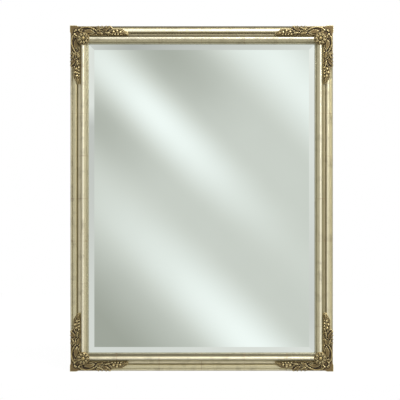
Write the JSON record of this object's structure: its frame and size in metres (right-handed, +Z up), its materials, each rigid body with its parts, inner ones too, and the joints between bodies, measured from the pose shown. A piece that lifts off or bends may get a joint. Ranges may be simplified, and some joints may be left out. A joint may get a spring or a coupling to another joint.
{
  "type": "recessed medicine cabinet",
  "caption": "Recessed wall cabinet with glass shelves and a side-hinged, bevelled mirror door in a gilded moulding with cast corner ornaments.",
  "frame": {"origin": "centre of the opening in the wall, on the wall's finished face", "axes": "+X to the viewer's right, +Y into the wall, +Z up; the door faces -Y"},
  "size_m": [0.5085, 0.1274, 0.667],
  "materials": {
    "gilded_wood": "champagne silver-gold leaf with a dark wash in the hollows",
    "antique_gold": "cast composition, antique gold with a dark wash",
    "white_enamel": "white powder coat, fine texture",
    "bright_aluminium": "mill bright",
    "shelf_glass": "clear float glass with ground edges",
    "nickel": "satin nickel plate",
    "white_plastic": "moulded white",
    "magnet_ceramic": "dark ferrite",
    "zinc_steel": "bright zinc plate",
    "bumper_rubber": "matte",
    "mirror_glass": "silvered glass",
    "foam": "closed-cell foam tape",
    "board": "hardboard"
  },
  "bodies": {
    "case": {"left_side_panel": "white_enamel", "right_side_panel": "white_enamel", "top_panel": "white_enamel", "bottom_panel": "white_enamel", "back_panel": "white_enamel", "back_rivets": "bright_aluminium", "corner_rivets": "bright_aluminium", "lower_shelf": "shelf_glass", "middle_shelf": "shelf_glass", "upper_shelf": "shelf_glass", "left_shelf_pegs": "nickel", "right_shelf_pegs": "nickel", "hinge_case_leaf": "nickel", "hinge_pin": "nickel", "hinge_rivets": "bright_aluminium", "catch_housing": "white_plastic", "catch_magnet": "magnet_ceramic", "catch_pole_plates": "zinc_steel", "catch_screws": "zinc_steel", "door_bumpers": "bumper_rubber"},
    "door": {"left_stile": "gilded_wood", "right_stile": "gilded_wood", "top_rail": "gilded_wood", "bottom_rail": "gilded_wood", "ornament_top_left": "antique_gold", "ornament_top_right": "antique_gold", "ornament_bottom_left": "antique_gold", "ornament_bottom_right": "antique_gold", "bevelled_mirror": "mirror_glass", "mirror_tape": "foam", "backing_board": "board", "inner_mirror": "mirror_glass", "mirror_clips": "zinc_steel", "clip_screws": "zinc_steel", "corner_braces": "zinc_steel", "brace_screws": "zinc_steel", "hinge_door_leaf": "nickel", "hinge_screws": "zinc_steel", "strike_plate": "zinc_steel", "strike_screws": "zinc_steel"}
  },
  "joints": [
    {"name": "door_swing", "type": "hinge", "parent": "case", "child": "door", "pos_m": [-0.2513, -0.0056, 0], "axis": [0, 0, -1], "range_deg": [0, 100]}
  ]
}
